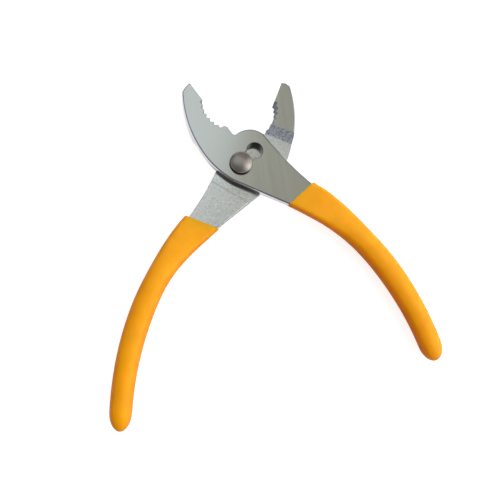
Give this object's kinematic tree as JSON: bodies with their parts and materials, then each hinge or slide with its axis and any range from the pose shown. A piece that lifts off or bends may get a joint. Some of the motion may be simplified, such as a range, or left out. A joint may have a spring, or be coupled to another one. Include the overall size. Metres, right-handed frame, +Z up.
{
  "type": "slip joint pliers",
  "caption": "Slip joint pliers with toothed pipe-grip jaws, a figure-eight slot, a domed pivot bolt and dipped orange grips, standing open.",
  "frame": {"origin": "on the pivot axis, in the flat end face of the bolt and nut that the tool lies on", "axes": "+Z up along the pivot axis, towards the domed head; +Y towards the jaws, halfway between the two levers; +X towards the front lever's handle"},
  "size_m": [0.1792, 0.1772, 0.0173],
  "materials": {
    "forged_steel": "polished faces over a blasted, satin forging",
    "bolt_steel": "polished",
    "washer_steel": "bright",
    "vinyl": "satin dipped vinyl"
  },
  "bodies": {
    "front_half": {"front_lever": "forged_steel", "front_grip": "vinyl"},
    "slipping_washer": {"pivot_washer": "washer_steel"},
    "rear_half": {"rear_lever": "forged_steel", "rear_grip": "vinyl", "pivot_bolt": "bolt_steel", "pivot_nut": "bolt_steel"}
  },
  "joints": [
    {"name": "slot_slide", "type": "slide", "parent": "front_half", "child": "slipping_washer", "axis": [0.8013, 0.5983, 0], "range_m": [0, 0.0108]},
    {"name": "jaw_pivot", "type": "hinge", "parent": "slipping_washer", "child": "rear_half", "pos_m": [0, 0, 0.0082], "axis": [0, 0, 1], "range_deg": [0, 57.5]}
  ]
}
